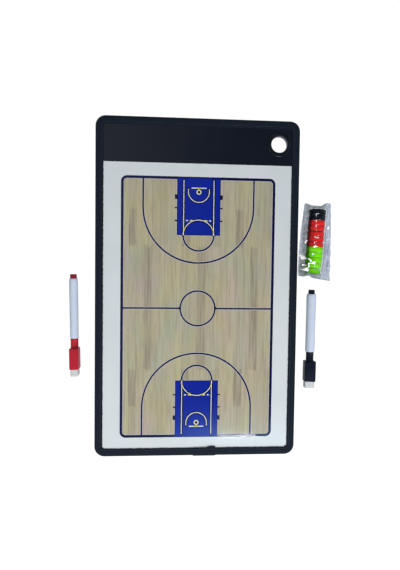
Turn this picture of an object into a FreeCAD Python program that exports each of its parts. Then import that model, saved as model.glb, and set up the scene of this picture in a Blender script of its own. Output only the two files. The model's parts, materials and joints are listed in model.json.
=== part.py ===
import FreeCAD, Part
import math
import os

# A tactics board set: a bound board with a hanging eyelet, two capped markers and a pouch of
# round magnets. Millimetres, +Z up. The origin is the middle of the board on the table, +Y points
# to the head of the board and +X to the side of its eyelet.

Vector = FreeCAD.Vector

# Board
board_length = 400.0
board_width = 240.0
board_corner_radius = 12.0
back_sheet_thickness = 0.5
core_thickness = 2.6
front_sheet_thickness = 0.5

# Steel sheet in its pocket
steel_thickness = 0.3
steel_margin = 4.0
steel_head_gap = 8.0
steel_corner_radius = 6.0

# Writing face, below the header and inside the binding
header_depth = 52.7
face_margin = 0.5

# Edge binding and its lapped ends
tape_thickness = 0.9
tape_lap = 9.5
window_corner_radius = 4.0
joint_start = -3.0
joint_length = 27.0
joint_rise = 0.6

# Lockstitch seam along the binding
seam_inset = 2.2
thread_width = 0.6
thread_thickness = 0.35
groove_depth = 0.4

# Eyelet
eyelet_hole_radius = 9.4
eyelet_wall = 0.5
eyelet_flange_radius = 14.5
eyelet_crown = 1.4
eyelet_throat_radius = 1.2
eyelet_rim = 0.35
eyelet_from_side = 25.0
eyelet_from_head = 27.8
eyelet_hole_clearance = 0.1
washer_thickness = 0.35
washer_radius = 13.6
roll_thickness = 0.4
roll_width = 1.6

# Marker barrel and tail plug
plug_radius = 3.8
plug_length = 5.0
plug_edge = 0.8
plug_spigot_length = 8.0
barrel_length = 69.5
barrel_shoulder = 5.0
barrel_shoulder_drop = 0.8
barrel_bore_radius = 3.6
barrel_front_wall = 6.0

# Marker inside
reservoir_clearance = 0.2
reservoir_gap = 1.0
holder_tail_radius = 3.0
holder_seal_radius = 3.4
holder_seal_length = 7.0
holder_cone_length = 6.0
holder_cone_radius = 2.0
nib_radius = 1.5
nib_seat_depth = 8.0
nib_reach = 3.0

# Marker cap and eraser
cap_mouth_gap = 0.3
cap_seal_clearance = 0.05
cap_neck_length = 11.0
cap_block_length = 24.8
cap_block_width = 13.4
cap_block_depth = 10.6
cap_block_edge = 1.2
cap_nib_room = 3.0
eraser_width = 12.0
eraser_depth = 8.8
eraser_length = 8.3
eraser_edge = 1.6

# Girth of the red marker, which is slim, and of the black one, which has a slight waist
red_tail_radius = 5.1
red_front_radius = 4.85
red_swell = 0.05
red_neck_radius = 4.4
black_tail_radius = 5.85
black_front_radius = 5.65
black_swell = -0.15
black_neck_radius = 4.5

# Magnets
magnet_count = 12
magnet_radius = 9.75
magnet_height = 6.2
magnet_edge = 0.5
magnet_spacing_gap = 0.05
disc_radius = 7.9
disc_height = 4.0

# Magnet pouch: how far it reaches from the middle of the stack, near the board and away from it
film_thickness = 0.2
pouch_head_near = 14.6
pouch_head_far = 18.4
pouch_foot_near = 15.6
pouch_foot_far = 23.5
pouch_head_seal = 4.8
pouch_foot_seal = 3.8
pouch_seal_thickness = 0.6
pouch_end_room = 3.0
pouch_clearance = 0.3

# Where the loose pieces lie beside the board
pouch_board_gap = 0.5
pouch_middle_y = 57.95
pouch_turn = -3.6
red_board_gap = 16.5
red_tail_y = 16.2
red_turn = 1.06
black_board_gap = 9.8
black_pouch_gap = 11.54
black_turn = -0.48

board_thickness = 2 * tape_thickness + back_sheet_thickness + core_thickness + front_sheet_thickness
back_sheet_base = tape_thickness
core_base = back_sheet_base + back_sheet_thickness
core_top = core_base + core_thickness
face_height = core_top + front_sheet_thickness
eyelet_place = Vector(board_width / 2 - eyelet_from_side, board_length / 2 - eyelet_from_head, 0)
past = 1.0
quarter_bow = math.sqrt(0.5)


def rounded_slab(x_low, x_high, y_low, y_high, radius, z_low, z_high):
    """A flat slab with four round corners."""
    turn = radius * (1 - quarter_bow)
    corners = [
        ((x_high - radius, y_low), (x_high - turn, y_low + turn), (x_high, y_low + radius)),
        ((x_high, y_high - radius), (x_high - turn, y_high - turn), (x_high - radius, y_high)),
        ((x_low + radius, y_high), (x_low + turn, y_high - turn), (x_low, y_high - radius)),
        ((x_low, y_low + radius), (x_low + turn, y_low + turn), (x_low + radius, y_low)),
    ]
    edges = []
    for index, (start, middle, end) in enumerate(corners):
        following = corners[(index + 1) % len(corners)][0]
        points = [Vector(x, y, z_low) for x, y in (start, middle, end)]
        edges.append(Part.Arc(*points).toShape())
        edges.append(Part.LineSegment(points[-1], Vector(*following, z_low)).toShape())
    return Part.Face(Part.Wire(edges)).extrude(Vector(0, 0, z_high - z_low))


def board_slab(inset, radius, z_low, z_high):
    """A slab of the board's outline, drawn in by an inset."""
    half_width = board_width / 2 - inset
    half_length = board_length / 2 - inset
    return rounded_slab(-half_width, half_width, -half_length, half_length, radius, z_low, z_high)


def turned(outline):
    """A solid turned about Z from (radius, height) corners; a third pair is the middle of an arc."""
    edges = []
    for index, point in enumerate(outline):
        following = outline[(index + 1) % len(outline)]
        start = Vector(point[0], 0, point[1])
        end = Vector(following[0], 0, following[1])
        if len(point) == 4:
            middle = Vector(point[2], 0, point[3])
            edges.append(Part.Arc(start, middle, end).toShape())
        else:
            edges.append(Part.LineSegment(start, end).toShape())
    return Part.Face(Part.Wire(edges)).revolve(Vector(0, 0, 0), Vector(0, 0, 1), 360)


def rod(radius, low, high):
    """A round rod on the Z axis."""
    return Part.makeCylinder(radius, high - low, Vector(0, 0, low))


def block(width, depth, low, high):
    """A box centred on the Z axis."""
    return Part.makeBox(width, depth, high - low, Vector(-width / 2, -depth / 2, low))


def save(shape, name):
    """Write one piece under its own name."""
    shape.exportStep(os.path.join("parts", name + ".step"))


def make_board():
    """The laminated board, its binding, seam and eyelet."""
    inner_radius = board_corner_radius - tape_thickness
    hole_radius = eyelet_hole_radius + eyelet_wall + eyelet_hole_clearance
    hole = Part.makeCylinder(hole_radius, board_thickness + 2 * past, eyelet_place - Vector(0, 0, past))
    steel_half_width = board_width / 2 - tape_lap - steel_margin
    steel_foot = -board_length / 2 + tape_lap + steel_margin
    steel_head = eyelet_place.y - eyelet_flange_radius - steel_head_gap
    steel_base = core_top - steel_thickness
    steel = rounded_slab(-steel_half_width, steel_half_width, steel_foot, steel_head,
                         steel_corner_radius, steel_base, core_top)
    save(board_slab(tape_thickness, inner_radius, back_sheet_base, core_base).cut(hole), "back_sheet")
    save(board_slab(tape_thickness, inner_radius, core_base, core_top).cut(hole).cut(steel), "core_board")
    save(steel, "steel_sheet")
    front = board_slab(tape_thickness, inner_radius, core_top, face_height).cut(hole)
    writing_inset = tape_lap + face_margin
    writing_half = board_width / 2 - writing_inset
    writing_foot = -board_length / 2 + writing_inset
    writing_head = board_length / 2 - header_depth
    writing_base = face_height - front_sheet_thickness / 2
    writing_area = rounded_slab(-writing_half, writing_half, writing_foot, writing_head,
                                window_corner_radius, writing_base, face_height)
    save(front.fuse(writing_area), "front_sheet")

    cavity = board_slab(tape_thickness, inner_radius, tape_thickness, face_height)
    window = board_slab(tape_lap, window_corner_radius, -past, board_thickness + joint_rise + past)
    lap = Part.makeBox(joint_length, tape_lap + joint_rise, board_thickness + joint_rise,
                       Vector(joint_start, -board_length / 2 - joint_rise, 0))
    binding = board_slab(0, board_corner_radius, 0, board_thickness).fuse(lap).cut(cavity).cut(window)
    seam_middle = tape_lap - seam_inset
    seam_outer = seam_middle - thread_width / 2
    seam_inner = seam_middle + thread_width / 2
    groove_floors = {"bobbin_thread": groove_depth - thread_thickness,
                     "needle_thread": board_thickness - groove_depth}
    groove_spans = {"bobbin_thread": (-past, groove_depth),
                    "needle_thread": (board_thickness - groove_depth, board_thickness + joint_rise + past)}
    for name, floor in groove_floors.items():
        binding = binding.cut(seam_ring(seam_outer, seam_inner, *groove_spans[name]))
        save(seam_ring(seam_outer, seam_inner, floor, floor + thread_thickness), name)
    save(binding.removeSplitter(), "edge_binding")
    make_eyelet()


def seam_ring(outer_inset, inner_inset, z_low, z_high):
    """A ring along the seam between two insets from the board's edge."""
    outer_radius = max(board_corner_radius - outer_inset, thread_width * 2)
    outer = board_slab(outer_inset, outer_radius, z_low, z_high)
    return outer.cut(board_slab(inner_inset, outer_radius - inner_inset + outer_inset, z_low, z_high))


def make_eyelet():
    """The eyelet's domed flange and barrel, rolled over its washer at the back."""
    barrel_radius = eyelet_hole_radius + eyelet_wall
    washer_base = back_sheet_base - washer_thickness
    roll_base = washer_base - roll_thickness
    crest_radius = eyelet_hole_radius + eyelet_throat_radius
    crest_height = face_height + eyelet_crown
    throat_height = crest_height - eyelet_throat_radius
    bend = eyelet_throat_radius * (1 - quarter_bow)
    brow_radius = crest_radius + (eyelet_flange_radius - crest_radius) * quarter_bow
    brow_height = face_height + eyelet_rim + (eyelet_crown - eyelet_rim) * quarter_bow
    eyelet = turned([
        (eyelet_hole_radius, roll_base),
        (eyelet_hole_radius, throat_height, eyelet_hole_radius + bend, crest_height - bend),
        (crest_radius, crest_height, brow_radius, brow_height),
        (eyelet_flange_radius, face_height + eyelet_rim),
        (eyelet_flange_radius, face_height),
        (barrel_radius, face_height),
        (barrel_radius, washer_base),
        (barrel_radius + roll_width, washer_base),
        (barrel_radius + roll_width, roll_base),
    ])
    eyelet.translate(eyelet_place)
    save(eyelet, "eyelet")
    washer = rod(washer_radius, washer_base, back_sheet_base)
    washer = washer.cut(rod(barrel_radius + eyelet_hole_clearance, washer_base, back_sheet_base))
    washer.translate(eyelet_place)
    save(washer, "eyelet_washer")


# Heights along a marker, from the end of its tail plug to the end of its eraser
barrel_front = plug_length + barrel_length
reservoir_front = barrel_front - barrel_front_wall
nib_tip = barrel_front + holder_seal_length + holder_cone_length + nib_reach
cap_mouth = barrel_front + cap_mouth_gap
cap_shoulder = cap_mouth + cap_neck_length
cap_end = cap_shoulder + cap_block_length
marker_length = cap_end + eraser_length


def marker_pieces(tail_radius, front_radius, swell, neck_radius):
    """The pieces of one marker, standing on its tail along +Z."""
    pieces = {}
    bevel = plug_radius - plug_edge
    spigot_end = plug_length + plug_spigot_length
    pieces["tail_plug"] = turned([
        (0, 0), (bevel, 0), (plug_radius, plug_edge), (plug_radius, plug_length),
        (barrel_bore_radius, plug_length), (barrel_bore_radius, spigot_end), (0, spigot_end),
    ])

    mouth_radius = tail_radius - barrel_shoulder_drop
    shoulder_end = plug_length + barrel_shoulder
    shoulder_middle = (mouth_radius + barrel_shoulder_drop * quarter_bow,
                       plug_length + barrel_shoulder * (1 - quarter_bow))
    flank_middle = ((tail_radius + front_radius) / 2 + swell, (shoulder_end + barrel_front) / 2)
    pieces["barrel"] = turned([
        (barrel_bore_radius, plug_length),
        (mouth_radius, plug_length, *shoulder_middle),
        (tail_radius, shoulder_end, *flank_middle),
        (front_radius, barrel_front),
        (holder_tail_radius, barrel_front),
        (holder_tail_radius, reservoir_front),
        (barrel_bore_radius, reservoir_front),
    ])

    reservoir_radius = barrel_bore_radius - reservoir_clearance
    nib_tail = reservoir_front - nib_seat_depth
    reservoir = rod(reservoir_radius, spigot_end + reservoir_gap, reservoir_front)
    pieces["ink_reservoir"] = reservoir.cut(rod(nib_radius, nib_tail, reservoir_front))

    seal_end = barrel_front + holder_seal_length
    cone_end = seal_end + holder_cone_length
    pieces["nib_holder"] = turned([
        (nib_radius, reservoir_front), (holder_tail_radius, reservoir_front),
        (holder_tail_radius, barrel_front), (holder_seal_radius, barrel_front),
        (holder_seal_radius, seal_end), (holder_tail_radius, seal_end),
        (holder_cone_radius, cone_end), (nib_radius, cone_end),
    ])

    round_start = nib_tip - nib_radius
    pieces["nib"] = turned([
        (0, nib_tail), (nib_radius, nib_tail),
        (nib_radius, round_start, nib_radius * quarter_bow, round_start + nib_radius * quarter_bow),
        (0, nib_tip),
    ])

    grip = block(cap_block_width, cap_block_depth, cap_shoulder, cap_end)
    grip = grip.makeFillet(cap_block_edge, grip.Edges)
    socket = rod(holder_seal_radius + cap_seal_clearance, cap_mouth, nib_tip + cap_nib_room)
    neck = rod(neck_radius, cap_mouth, cap_shoulder + cap_block_edge * 2)
    pieces["cap"] = grip.fuse(neck).cut(socket).removeSplitter()

    pad = block(eraser_width, eraser_depth, cap_end, marker_length)
    pad_edges = [edge for edge in pad.Edges if edge.BoundBox.ZMax > cap_end + eraser_length / 4]
    pieces["eraser"] = pad.makeFillet(eraser_edge, pad_edges)
    return pieces


def lay_marker(colour, pieces, tail, turn, wide_face_up):
    """Lay one marker on the table, with its tail at a point and its cap towards -Y."""
    along = Vector(math.sin(math.radians(turn)), -math.cos(math.radians(turn)), 0)
    across = Vector(-along.y, along.x, 0)
    upward = Vector(0, 0, 1)
    first, second = (across, upward) if wide_face_up else (upward, across * -1)
    place = FreeCAD.Matrix(first.x, second.x, along.x, tail.x, first.y, second.y, along.y, tail.y,
                           first.z, second.z, along.z, tail.z, 0, 0, 0, 1)
    for name, shape in pieces.items():
        save(shape.transformed(place), colour + "_" + name)


def make_markers():
    """The red marker left of the board, and the black one right of it below the pouch."""
    red_pieces = marker_pieces(red_tail_radius, red_front_radius, red_swell, red_neck_radius)
    red_half_width = max(red_tail_radius, cap_block_depth / 2)
    red_drift = marker_length * abs(math.sin(math.radians(red_turn)))
    red_x = -board_width / 2 - red_board_gap - red_half_width - red_drift
    red_height = max(red_tail_radius, cap_block_width / 2)
    lay_marker("red", red_pieces, Vector(red_x, red_tail_y, red_height), red_turn, False)

    black_pieces = marker_pieces(black_tail_radius, black_front_radius, black_swell, black_neck_radius)
    black_half_width = max(black_tail_radius, cap_block_width / 2)
    black_drift = marker_length * abs(math.sin(math.radians(black_turn)))
    black_x = board_width / 2 + black_board_gap + black_half_width + black_drift
    black_y = min(corner.y for corner in pouch_corners()) - black_pouch_gap
    black_height = max(black_tail_radius, cap_block_depth / 2)
    lay_marker("black", black_pieces, Vector(black_x, black_y, black_height), black_turn, True)


# The stack of magnets along the pouch, and the room that the film leaves it
magnet_pitch = magnet_height + magnet_spacing_gap
stack_length = magnet_count * magnet_pitch - magnet_spacing_gap
stack_height = film_thickness + pouch_clearance + magnet_radius
stack_room = stack_length / 2 + pouch_end_room
pouch_head = stack_room + pouch_head_seal
pouch_foot = stack_room + pouch_foot_seal


def pouch_place():
    """Where the middle of the stack lies, with the pouch's nearest corner a gap from the board."""
    turn = FreeCAD.Rotation(Vector(0, 0, 1), pouch_turn)
    near_corners = [Vector(-pouch_head_near, pouch_head, 0), Vector(-pouch_foot_near, -pouch_foot, 0)]
    reach = max(-turn.multVec(corner).x for corner in near_corners)
    return FreeCAD.Placement(Vector(board_width / 2 + pouch_board_gap + reach, pouch_middle_y, 0), turn)


def pouch_corners():
    """The two corners of the pouch's foot on the table."""
    return [pouch_place().multVec(Vector(x, -pouch_foot, 0)) for x in (-pouch_foot_near, pouch_foot_far)]


def make_magnets():
    """The stack of magnets in its pouch."""
    place = pouch_place()
    cup = rod(magnet_radius, 0, magnet_height)
    rims = [edge for edge in cup.Edges if edge.Closed]
    cup = cup.makeFillet(magnet_edge, rims).cut(rod(disc_radius, 0, disc_height))
    disc = rod(disc_radius, 0, disc_height)
    for number in range(1, magnet_count + 1):
        base = stack_length / 2 - number * magnet_pitch + magnet_spacing_gap
        lie = FreeCAD.Placement(Vector(0, base, stack_height), FreeCAD.Rotation(Vector(1, 0, 0), -90))
        for name, shape in (("cup", cup), ("disc", disc)):
            save(shape.transformed(place.multiply(lie).toMatrix()), "magnet_%02d_%s" % (number, name))
    pouch = pouch_form(0).cut(pouch_form(film_thickness))
    save(pouch.transformed(place.toMatrix()), "magnet_pouch")


def pouch_form(inset):
    """One skin of the pouch: flat on the table, drawn over the stack, and flat at both seals."""
    foot = (pouch_foot_near, pouch_foot_far)
    head = (pouch_head_near, pouch_head_far)
    stations = [(inset - pouch_foot, foot, seal_flank), (-stack_room, foot, stack_flank),
                (stack_room, head, stack_flank), (pouch_head - inset, head, seal_flank)]
    sections = []
    for y, reaches, flank in stations:
        near, far = (flank(reach - inset, inset) for reach in reaches)
        outline = far + [(-x, z) for x, z in reversed(near)]
        sections.append(Part.makePolygon([Vector(x, y, z) for x, z in outline + outline[:1]]))
    return Part.makeLoft(sections, True, True)


def seal_flank(half, inset):
    """One side of the pouch's section at a seal, from the table to its flat upper film."""
    seal_height = pouch_seal_thickness - inset
    return [(half, inset)] + [(half * share, seal_height) for share in (1, 2 / 3, 1 / 3)]


def stack_flank(half, inset):
    """One side of the pouch's section at the stack, with flats that just clear the magnets."""
    seal_height = pouch_seal_thickness - inset
    radius = magnet_radius + pouch_clearance + film_thickness - inset
    drop = seal_height - stack_height
    flank_angle = math.atan2(drop, half) + math.acos(radius / math.hypot(drop, half))
    brow_angle = (flank_angle + math.pi / 2) / 2
    corners = [(half, inset), (half, seal_height)]
    for first, second in ((flank_angle, brow_angle), (brow_angle, math.pi / 2)):
        middle = (first + second) / 2
        distance = radius / math.cos((second - first) / 2)
        corners.append((distance * math.cos(middle), stack_height + distance * math.sin(middle)))
    return corners


os.makedirs("parts", exist_ok=True)
make_board()
make_markers()
make_magnets()
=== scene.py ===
import json
import math
import bmesh
import bpy
from mathutils import Matrix, Vector, noise


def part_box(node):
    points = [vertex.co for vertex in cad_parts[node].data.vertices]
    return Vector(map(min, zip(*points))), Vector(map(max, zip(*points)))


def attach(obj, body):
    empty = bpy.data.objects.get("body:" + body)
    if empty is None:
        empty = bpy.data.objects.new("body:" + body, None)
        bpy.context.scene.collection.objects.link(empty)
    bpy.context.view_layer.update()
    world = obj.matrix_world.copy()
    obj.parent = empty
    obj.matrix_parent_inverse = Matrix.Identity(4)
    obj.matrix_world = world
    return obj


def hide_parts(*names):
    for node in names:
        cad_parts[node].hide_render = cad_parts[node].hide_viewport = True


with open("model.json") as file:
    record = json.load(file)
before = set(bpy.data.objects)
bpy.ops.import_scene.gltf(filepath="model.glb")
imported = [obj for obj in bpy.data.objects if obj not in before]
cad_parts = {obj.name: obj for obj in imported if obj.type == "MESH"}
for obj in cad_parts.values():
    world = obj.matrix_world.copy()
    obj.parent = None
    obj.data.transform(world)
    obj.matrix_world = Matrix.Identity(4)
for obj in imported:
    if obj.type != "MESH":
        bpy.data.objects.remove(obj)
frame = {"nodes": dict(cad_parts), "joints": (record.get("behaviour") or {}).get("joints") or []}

noise.seed_set(14)   # the same draws each run
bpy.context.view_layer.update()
mm = 0.001
weldGap = 1e-7
joinGap = 1e-6   # where runs of one piece meet
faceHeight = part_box("front_sheet")[1][2]   # top of the printed sheet
print("frame loaded")


# helpers for meshes

def clamped(share):
    return max(0.0, min(1.0, share))


def smooth(low, high, value):   # eased step from low to high, which may run down
    share = clamped((value - low) / (high - low))
    return share * share * (3 - 2 * share)


def only(items, kind):
    return [item for item in items if isinstance(item, kind)]


def linkedEdges(verts):   # each once, in a fixed order
    return list(dict.fromkeys(edge for vert in verts for edge in vert.link_edges))


def boxMiddle(node):
    low, high = (Vector(corner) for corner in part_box(node))
    return (low + high) / 2


def jointAxis(name):
    joint = next(item for item in frame["joints"] if item["name"] == name)
    return Vector(joint["axis"]).normalized()


def axesMatrix(axes, middle):
    place = Matrix(axes).transposed().to_4x4()
    place.translation = middle
    return place


def wire(bm, points, closed=False):
    verts = [bm.verts.new(point) for point in points]
    pairs = list(zip(verts, verts[1:]))
    if closed:
        pairs.append((verts[-1], verts[0]))
    return verts, [bm.edges.new(pair) for pair in pairs]


def weld(bm, gap=weldGap):
    bmesh.ops.remove_doubles(bm, verts=bm.verts[:], dist=gap)


def spin(bm, geom, centre, angle, steps, merge=False):
    made = bmesh.ops.spin(bm, geom=geom, cent=centre, axis=(0, 0, 1), angle=angle, steps=steps,
                          use_merge=merge)
    return [] if merge else only(made["geom_last"], bmesh.types.BMEdge)


def thicken(bm, height):
    raised = bmesh.ops.extrude_face_region(bm, geom=bm.faces[:], use_keep_orig=True)
    bmesh.ops.translate(bm, verts=only(raised["geom"], bmesh.types.BMVert), vec=(0, 0, height))


def turnedForm(profile, steps, rounding=(), closed=False):
    # a form turned about Z from (radius, height) corners in mm; rounding is (corner, width)
    bm = bmesh.new()
    verts = wire(bm, [(radius * mm, 0, height * mm) for radius, height in profile], closed)[0]
    for corner, width in rounding:
        bmesh.ops.bevel(bm, geom=[verts[corner]], offset=width * mm, offset_type="OFFSET",
                        affect="VERTICES", segments=5, profile=0.5, material=-1)
    spin(bm, bm.verts[:] + bm.edges[:], (0, 0, 0), 2 * math.pi, steps, merge=True)
    weld(bm)
    return bm


def roundedBlock(bm, size, middle, edgeWidth, segments, keepSharp=None):
    # a box with rounded edges, in mm; keepSharp picks edges that stay square
    place = Matrix.Translation(Vector(middle) * mm) @ Matrix.Diagonal((*[side * mm for side in size], 1))
    made = bmesh.ops.create_cube(bm, size=1.0, matrix=place)
    edges = linkedEdges(made["verts"])
    edges = [edge for edge in edges if keepSharp is None or not keepSharp(edge)]
    bmesh.ops.bevel(bm, geom=edges, offset=edgeWidth * mm, offset_type="OFFSET", affect="EDGES",
                    segments=segments, profile=0.5, material=-1)


def addObject(name, data):
    item = bpy.data.objects.new(name, data)
    bpy.context.scene.collection.objects.link(item)
    return item


def makePiece(name, bm, finish, body, replaced=(), sharpAngle=35.0):
    weld(bm)
    bmesh.ops.recalc_face_normals(bm, faces=bm.faces[:])
    mesh = bpy.data.meshes.new(name)
    bm.to_mesh(mesh)
    bm.free()
    mesh.materials.append(finish)
    mesh.shade_smooth()
    mesh.set_sharp_from_angle(angle=math.radians(sharpAngle))
    piece = addObject(name, mesh)
    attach(piece, body)
    if replaced:
        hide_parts(*replaced)
    return piece


def setFinish(node, finish):
    materials = frame["nodes"][node].data.materials
    materials.clear()
    materials.append(finish)


# helpers for finishes

def addNode(tree, kind, inputs=None, **settings):
    node = tree.nodes.new("ShaderNode" + kind)
    for key, value in settings.items():
        setattr(node, key, value)
    for key, value in (inputs or {}).items():
        if isinstance(value, bpy.types.NodeSocket):
            tree.links.new(value, node.inputs[key])
        else:
            node.inputs[key].default_value = value
    return node


def feed(tree, node, outputs):
    for label, output in outputs.items():
        tree.links.new(output, node.inputs[label])


def newGroup(name, inputs, outputs):
    tree = bpy.data.node_groups.new(name, "ShaderNodeTree")
    for label, value in inputs.items():
        socket = tree.interface.new_socket(name=label, in_out="INPUT", socket_type="NodeSocketFloat")
        socket.default_value = value
    for label in outputs:
        tree.interface.new_socket(name=label, in_out="OUTPUT", socket_type="NodeSocketFloat")
    return tree, tree.nodes.new("NodeGroupInput").outputs, tree.nodes.new("NodeGroupOutput")


def useGroup(tree, group, values):
    node = tree.nodes.new("ShaderNodeGroup")
    node.node_tree = group
    for label, value in values.items():
        node.inputs[label].default_value = value
    return node.outputs


def newFinish(name, constants):
    finish = bpy.data.materials.new(name)
    finish.use_nodes = True
    shader = finish.node_tree.nodes["Principled BSDF"]
    for label, value in constants.items():
        shader.inputs[label].default_value = value
    return finish, finish.node_tree, shader


def objectPlace(tree):
    return addNode(tree, "TexCoord").outputs["Object"]


def stretched(tree, spot, scale, shift=(0, 0, 0)):
    values = {"Vector": spot, "Scale": scale, "Location": shift}
    return addNode(tree, "Mapping", values).outputs[0]


def noiseAt(tree, spot, scale, detail):
    values = {"Vector": spot, "Scale": scale, "Detail": detail}
    return addNode(tree, "TexNoise", values).outputs[0]


def mixColours(tree, factor, first, second):
    ends = [(*tone, 1) if isinstance(tone, (tuple, list)) else tone for tone in (first, second)]
    return addNode(tree, "Mix", {0: factor, 6: ends[0], 7: ends[1]}, data_type="RGBA").outputs[2]


def maths(tree, operation, first, second=0.0, third=0.0):
    return addNode(tree, "Math", {0: first, 1: second, 2: third}, operation=operation).outputs[0]


def vectorMaths(tree, operation, inputs):
    return addNode(tree, "VectorMath", inputs, operation=operation).outputs


def ramp(tree, value, fromLow, fromHigh, toLow=0.0, toHigh=1.0):
    values = {"Value": value, "From Min": fromLow, "From Max": fromHigh, "To Min": toLow, "To Max": toHigh}
    return addNode(tree, "MapRange", values).outputs[0]


def spread(tree, value, low, high):
    return ramp(tree, value, 0.0, 1.0, low, high)


def addBump(tree, shader, height, distance, strength):
    bump = addNode(tree, "Bump", {"Height": height, "Distance": distance, "Strength": strength})
    feed(tree, shader, {"Normal": bump.outputs["Normal"]})
    return bump.outputs["Normal"]


# shared effects: wiped gloss of coated sheets, grain of mouldings, woven yarns

def surfaceGroup(name, rough, fineScale, stretch, cloudScale, cloudDetail):
    # a roughness that drifts with a broad cloud, and a fine relief
    inputs = {"roughLow": rough[0], "roughHigh": rough[1], "fineScale": fineScale}
    tree, given, result = newGroup(name, inputs, ["roughness", "fine", "cloud"])
    place = objectPlace(tree)
    cloud = noiseAt(tree, stretched(tree, place, stretch), cloudScale, cloudDetail)
    feed(tree, result, {"roughness": ramp(tree, cloud, 0.3, 0.7, given["roughLow"], given["roughHigh"]),
                        "fine": noiseAt(tree, place, given["fineScale"], 3.0), "cloud": cloud})
    return tree


def wovenYarnGroup():
    # plain weave on the UV map, which is in metres along and across the cloth
    tree, given, result = newGroup("wovenYarn", {"pitch": 0.0008}, ["height", "shade"])
    place = addNode(tree, "TexCoord").outputs["UV"]
    split = addNode(tree, "SeparateXYZ", {0: place}).outputs
    rounds = []
    cells = []
    for axis in (0, 1):
        count = maths(tree, "DIVIDE", split[axis], given["pitch"])
        wave = maths(tree, "SINE", maths(tree, "MULTIPLY", count, math.pi))
        rounds.append(maths(tree, "ABSOLUTE", wave))
        cells.append(maths(tree, "FLOOR", count))
    over = maths(tree, "FLOORED_MODULO", maths(tree, "ADD", *cells), 2.0)
    mixed = addNode(tree, "Mix", {0: over, 2: rounds[0], 3: rounds[1]}, data_type="FLOAT")
    height = mixed.outputs[0]
    shade = maths(tree, "MULTIPLY", height, noiseAt(tree, place, 900.0, 4.0))
    feed(tree, result, {"height": height, "shade": shade})
    return tree


wipedGloss = surfaceGroup("wipedGloss", (0.12, 0.22), 60.0, (1.0, 0.25, 1.0), 55.0, 4.0)
mouldGrain = surfaceGroup("mouldGrain", (0.25, 0.4), 2500.0, (1.0, 1.0, 1.0), 130.0, 3.0)
wovenYarn = wovenYarnGroup()
glossRough = (0.03, 0.05)


def addWipedGloss(tree, shader, rough):
    gloss = useGroup(tree, wipedGloss, {"roughLow": rough[0], "roughHigh": rough[1], "fineScale": 55.0})
    feed(tree, shader, {"Roughness": gloss["roughness"]})
    addBump(tree, shader, gloss["fine"], 0.0001, 0.2)


def printedFinish(name, darker, lighter, rough=glossRough):
    # ink or bare coat of the laminated print, with a slow drift of tone and a wiped gloss
    finish, tree, shader = newFinish(name, {"IOR": 1.46})
    cloud = noiseAt(tree, objectPlace(tree), 25.0, 2.0)
    feed(tree, shader, {"Base Color": mixColours(tree, cloud, darker, lighter)})
    addWipedGloss(tree, shader, rough)
    return finish


def mouldedFinish(name, darker, lighter, rough, grainDepth=0.00001, constants=None):
    finish, tree, shader = newFinish(name, constants or {})
    grain = useGroup(tree, mouldGrain, {"roughLow": rough[0], "roughHigh": rough[1]})
    feed(tree, shader, {"Base Color": mixColours(tree, grain["cloud"], darker, lighter),
                        "Roughness": grain["roughness"]})
    addBump(tree, shader, grain["fine"], grainDepth, 0.4)
    return finish


def tonedFinish(name, constants, makePattern, tones, rough, bump=None):
    # colour, roughness and relief that all follow one pattern
    finish, tree, shader = newFinish(name, constants)
    pattern = makePattern(tree)
    feed(tree, shader, {"Base Color": mixColours(tree, pattern, *tones),
                        "Roughness": spread(tree, pattern, *rough)})
    if bump:
        addBump(tree, shader, pattern, *bump)
    return finish


def feltFinish(name, darker, lighter, fibreScale):
    def fibres(tree):
        return noiseAt(tree, objectPlace(tree), fibreScale, 6.0)

    sheen = {"Sheen Weight": 0.3, "Sheen Roughness": 0.5}
    return tonedFinish(name, sheen, fibres, (darker, lighter), (0.8, 1.0), (0.0003, 0.7))


def metalFinish(name, colour, rough):
    def rolledLines(tree):
        return noiseAt(tree, stretched(tree, objectPlace(tree), (1.0, 0.05, 1.0)), 1500.0, 3.0)

    darker = [part * 0.82 for part in colour]
    return tonedFinish(name, {"Metallic": 1.0}, rolledLines, (darker, colour), rough)


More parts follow.
